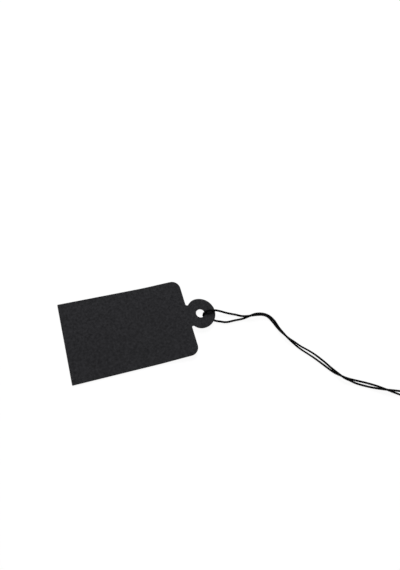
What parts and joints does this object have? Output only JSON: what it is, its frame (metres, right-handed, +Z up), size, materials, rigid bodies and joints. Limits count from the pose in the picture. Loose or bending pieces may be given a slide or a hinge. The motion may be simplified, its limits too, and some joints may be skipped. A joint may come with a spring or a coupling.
{
  "type": "strung price tag",
  "caption": "Small flat card tag with square and rounded corners and a round ear with a hole, strung on a knotted loop of thread for tying to goods.",
  "frame": {"origin": "on the table, under the middle of the card's length and width", "axes": "+X along the card from its square end to its ear, +Y across the card, +Z up out of its face"},
  "size_m": [0.1022, 0.061, 0.0019],
  "materials": {
    "card": "uncoated black card, matt, with a fine fibre mottle",
    "thread": "black twisted cotton thread, matt"
  },
  "bodies": {
    "card": {"tag_card": "card"},
    "bight": {"string_bight": "thread"},
    "loop": {"string_upper_strand": "thread", "string_lower_strand": "thread", "string_knot": "thread", "string_left_tail": "thread", "string_right_tail": "thread"}
  },
  "joints": [
    {"name": "string_swing", "type": "hinge", "parent": "card", "child": "bight", "pos_m": [0.01522, 0, 0], "axis": [0, 0, 1], "range_deg": [-75, 110]},
    {"name": "string_lift", "type": "hinge", "parent": "bight", "child": "loop", "pos_m": [0.01962, 0, 0.00135], "axis": [0, -1, 0], "range_deg": [0, 120]}
  ]
}
